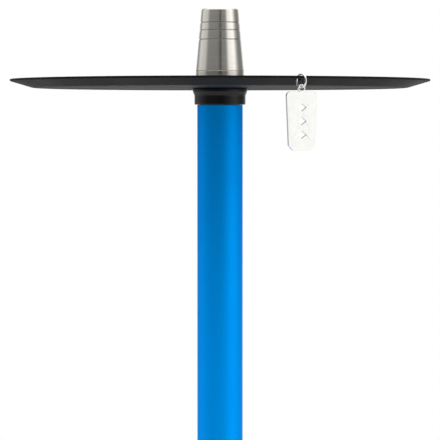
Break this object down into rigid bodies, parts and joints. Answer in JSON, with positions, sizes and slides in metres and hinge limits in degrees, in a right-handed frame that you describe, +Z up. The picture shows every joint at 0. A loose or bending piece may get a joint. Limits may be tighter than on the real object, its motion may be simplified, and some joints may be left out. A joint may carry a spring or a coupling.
{
  "type": "water pipe stem",
  "caption": "Water-pipe stem: ribbed cone adapter for the bowl, wide shallow ash tray with a hanging tag, coated tube, hub with hose connector and purge valve, neck seal, downstem.",
  "frame": {"origin": "on the stem's axis, in the plane of the seal's flange that rests on the flask's rim", "axes": "+Z up along the stem towards the bowl, +X along the hose connector, -Y towards the front, where the charm hangs right of the middle"},
  "size_m": [0.24, 0.24, 0.597],
  "materials": {
    "turned_steel": "turned stainless steel, satin, with fine rings from the lathe",
    "drawn_steel": "drawn stainless tube, satin, with a fine lengthwise grain",
    "polished_steel": "polished stainless steel",
    "tray_coat": "fine satin black powder coat",
    "blue_coat": "even satin blue coat on aluminium",
    "black_polymer": "turned black acetal, satin",
    "black_anodised": "black anodised aluminium, satin",
    "black_silicone": "matte black silicone",
    "seal_rubber": "matte black rubber"
  },
  "bodies": {
    "stem": {"bowl_adapter": "turned_steel", "adapter_o_ring": "seal_rubber", "tray_collar": "black_polymer", "outer_tube": "blue_coat", "smoke_tube": "drawn_steel", "tube_foot_ring": "black_polymer", "smoke_tube_o_ring": "seal_rubber", "hub_body": "black_anodised", "hose_port_sleeve": "turned_steel", "hose_port_o_ring": "seal_rubber", "valve_seat": "turned_steel", "valve_cap": "turned_steel", "neck_spigot": "black_anodised", "spigot_o_ring": "seal_rubber", "neck_gasket": "black_silicone", "downstem": "drawn_steel", "downstem_o_ring": "seal_rubber"},
    "tray": {"tray": "tray_coat"},
    "charm_ring": {"charm_ring": "polished_steel"},
    "charm_tag": {"charm_tag": "polished_steel"},
    "hose_connector": {"hose_connector": "turned_steel", "connector_o_ring_inner": "seal_rubber", "connector_o_ring_outer": "seal_rubber"},
    "purge_ball": {"purge_ball": "polished_steel"},
    "diffuser": {"diffuser": "black_polymer", "diffuser_o_ring": "seal_rubber"}
  },
  "joints": [
    {"name": "tray_lift", "type": "slide", "parent": "stem", "child": "tray", "axis": [0, 0, 1], "range_m": [0, 0.06]},
    {"name": "charm_ring_swing", "type": "hinge", "parent": "tray", "child": "charm_ring", "pos_m": [0.04099, -0.10905, 0.33893], "axis": [-0.7501, -0.6613, 0], "range_deg": [0, 45]},
    {"name": "charm_tag_swing", "type": "hinge", "parent": "charm_ring", "child": "charm_tag", "pos_m": [0.04281, -0.11111, 0.33453], "axis": [0.6613, -0.7501, 0], "range_deg": [-20, 20]},
    {"name": "hose_connector_pull", "type": "slide", "parent": "stem", "child": "hose_connector", "axis": [1, 0, 0], "range_m": [0, 0.03]},
    {"name": "purge_ball_lift", "type": "slide", "parent": "stem", "child": "purge_ball", "axis": [0, 0, 1], "range_m": [0, 0.0025]},
    {"name": "diffuser_pull", "type": "slide", "parent": "stem", "child": "diffuser", "axis": [0, 0, -1], "range_m": [0, 0.03]}
  ]
}
